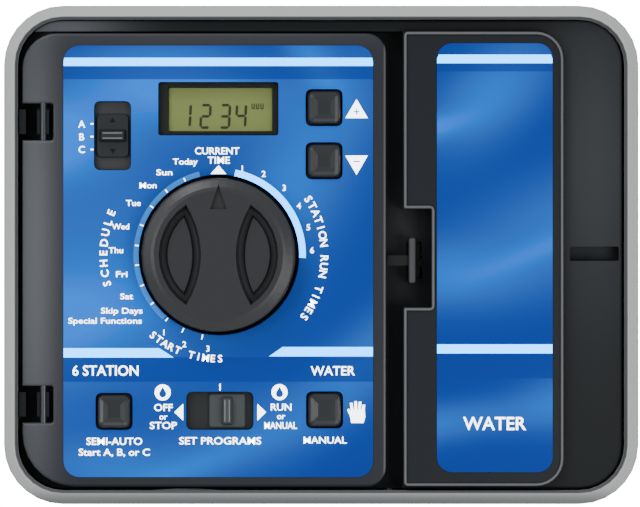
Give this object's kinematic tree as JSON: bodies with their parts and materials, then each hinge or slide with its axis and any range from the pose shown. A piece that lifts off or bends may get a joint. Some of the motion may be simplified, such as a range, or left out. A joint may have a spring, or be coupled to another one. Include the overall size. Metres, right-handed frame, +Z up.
{
  "type": "irrigation controller",
  "caption": "Wall-mounted irrigation controller with a rim-framed grey cabinet, a hinged front panel carrying a dial, display, slide switches and push buttons, and a fixed wiring cover",
  "frame": {"origin": "centre of the cabinet's flat back face, on the wall plane", "axes": "+X to the right seen from the front, +Y into the wall, +Z up; the front faces -Y"},
  "size_m": [0.273, 0.0966, 0.2144],
  "materials": {
    "cabinet_grey": "light grey moulded plastic, fine texture",
    "black_plastic": "black moulded plastic",
    "knob_black": "satin black plastic",
    "label_blue": "blue printed overlay",
    "window_clear": "clear plastic window",
    "lcd_glass": "olive-green display cell",
    "board_green": "circuit board",
    "screw_steel": "zinc-plated steel",
    "dark_screw": "blackened steel",
    "lamination_steel": "varnished steel laminations",
    "coil_tape": "taped copper winding",
    "terminal_green": "moulded terminal strip",
    "line_terminal_beige": "moulded line-voltage terminals",
    "ribbon_grey": "PVC flat cable",
    "battery_case": "sleeved battery can"
  },
  "bodies": {
    "cabinet": {"cabinet_shell": "cabinet_grey", "front_frame": "black_plastic", "frame_screw_1": "dark_screw", "frame_screw_2": "dark_screw", "frame_screw_3": "dark_screw", "frame_screw_4": "dark_screw", "power_cover_screw_1": "dark_screw", "power_cover_screw_2": "dark_screw", "power_cover": "black_plastic", "power_cover_label": "label_blue", "transformer_core": "lamination_steel", "transformer_coil": "coil_tape", "transformer_bracket": "screw_steel", "transformer_screw_1": "screw_steel", "transformer_screw_2": "screw_steel", "line_terminal_block": "line_terminal_beige", "ground_screw": "screw_steel", "terminal_board": "board_green", "terminal_block": "terminal_green", "terminal_board_screw_1": "screw_steel", "terminal_board_screw_2": "screw_steel", "ribbon_socket": "black_plastic", "ribbon_plug_board": "knob_black", "ribbon_cable": "ribbon_grey", "latch_spring": "screw_steel"},
    "module": {"module_face": "black_plastic", "module_rear_cover": "black_plastic", "hinge_pin_upper": "dark_screw", "hinge_pin_lower": "dark_screw", "face_label": "label_blue", "lcd_window": "window_clear", "lcd_frame": "knob_black", "lcd_cell": "lcd_glass", "main_board": "board_green", "rotary_switch_body": "knob_black", "tact_switch_1": "knob_black", "tact_switch_2": "knob_black", "tact_switch_3": "knob_black", "tact_switch_4": "knob_black", "program_switch_body": "knob_black", "function_switch_body": "knob_black", "battery_9v": "battery_case", "battery_snap": "black_plastic", "ribbon_plug_module": "knob_black", "module_screw_1": "dark_screw", "module_screw_2": "dark_screw", "module_screw_3": "dark_screw", "module_screw_4": "dark_screw"},
    "dial": {"dial_knob": "knob_black", "dial_shaft": "screw_steel"},
    "program_switch": {"program_switch_knob": "knob_black"},
    "function_switch": {"function_switch_knob": "knob_black"},
    "plus_button": {"plus_button": "knob_black"},
    "minus_button": {"minus_button": "knob_black"},
    "semi_auto_button": {"semi_auto_button": "knob_black"},
    "manual_button": {"manual_button": "knob_black"},
    "release_latch": {"release_latch": "knob_black"},
    "battery_cover": {"battery_cover": "black_plastic"}
  },
  "joints": [
    {"name": "module_swing", "type": "hinge", "parent": "cabinet", "child": "module", "pos_m": [-0.1196, -0.0824, 0], "axis": [0, 0, -1], "range_deg": [0, 90], "deforming": ["ribbon_cable"]},
    {"name": "dial_turn", "type": "hinge", "parent": "module", "child": "dial", "pos_m": [-0.0439, -0.091, 0], "axis": [0, -1, 0], "continuous": true},
    {"name": "program_switch_slide", "type": "slide", "parent": "module", "child": "program_switch", "axis": [0, 0, 1], "range_m": [-0.0048, 0.0048]},
    {"name": "function_switch_slide", "type": "slide", "parent": "module", "child": "function_switch", "axis": [1, 0, 0], "range_m": [-0.0064, 0]},
    {"name": "plus_button_press", "type": "slide", "parent": "module", "child": "plus_button", "axis": [0, 1, 0], "range_m": [0, 0.0012], "stiffness_N_per_m": 1500, "springref_m": -0.0003},
    {"name": "minus_button_press", "type": "slide", "parent": "module", "child": "minus_button", "axis": [0, 1, 0], "range_m": [0, 0.0012], "stiffness_N_per_m": 1500, "springref_m": -0.0003},
    {"name": "semi_auto_button_press", "type": "slide", "parent": "module", "child": "semi_auto_button", "axis": [0, 1, 0], "range_m": [0, 0.0012], "stiffness_N_per_m": 1500, "springref_m": -0.0003},
    {"name": "manual_button_press", "type": "slide", "parent": "module", "child": "manual_button", "axis": [0, 1, 0], "range_m": [0, 0.0012], "stiffness_N_per_m": 1500, "springref_m": -0.0003},
    {"name": "release_latch_slide", "type": "slide", "parent": "cabinet", "child": "release_latch", "axis": [1, 0, 0], "range_m": [0, 0.0025], "stiffness_N_per_m": 800, "springref_m": -0.0008, "deforming": ["latch_spring"]},
    {"name": "battery_cover_slide", "type": "slide", "parent": "module", "child": "battery_cover", "axis": [-1, 0, 0], "range_m": [0, 0.064]}
  ]
}
